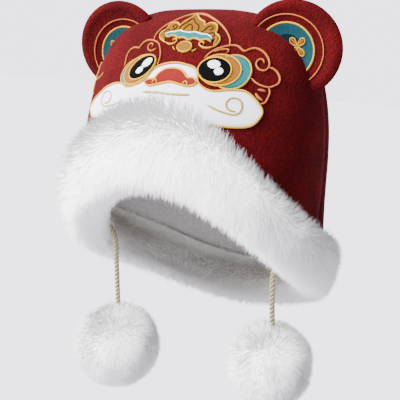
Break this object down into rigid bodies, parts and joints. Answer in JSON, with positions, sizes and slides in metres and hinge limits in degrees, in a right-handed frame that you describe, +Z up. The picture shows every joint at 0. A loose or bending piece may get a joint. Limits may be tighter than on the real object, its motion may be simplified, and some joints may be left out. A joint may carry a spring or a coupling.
{
  "type": "plush earflap hat",
  "caption": "Child's red plush winter hat with round ears, an embroidered lion-dance face, a deep white fur hem that drops over the ears, and pompoms on tie cords.",
  "frame": {"origin": "inside top of the lining on the crown's axis, where the hat rests on the top of the head", "axes": "+Z up, as worn. The front with the embroidered face looks along -Y. +X is the wearer's left."},
  "size_m": [0.2203, 0.1868, 0.3169],
  "materials": {
    "red_plush": "short-pile plush",
    "lining_fleece": "brushed fleece",
    "white_fur": "long-pile faux fur",
    "white_plush": "short-pile plush",
    "teal_thread": "satin-stitched thread",
    "orange_thread": "satin-stitched thread",
    "gold_thread": "satin-stitched thread",
    "red_thread": "satin-stitched thread",
    "beige_cord": "twisted cotton cord"
  },
  "bodies": {
    "root": {"crown_front_panel": "red_plush", "crown_back_panel": "red_plush", "lining": "lining_fleece", "fur_band": "white_fur", "ear_left": "red_plush", "ear_right": "red_plush", "ear_patch_left": "teal_thread", "ear_patch_right": "teal_thread", "muzzle_patch": "white_plush", "nose_patch": "red_thread", "eye_patch_left": "orange_thread", "eye_patch_right": "orange_thread", "forehead_patch": "gold_thread", "tie_cord_left": "beige_cord", "tie_cord_right": "beige_cord", "pompom_left": "white_fur", "pompom_right": "white_fur"}
  },
  "joints": []
}
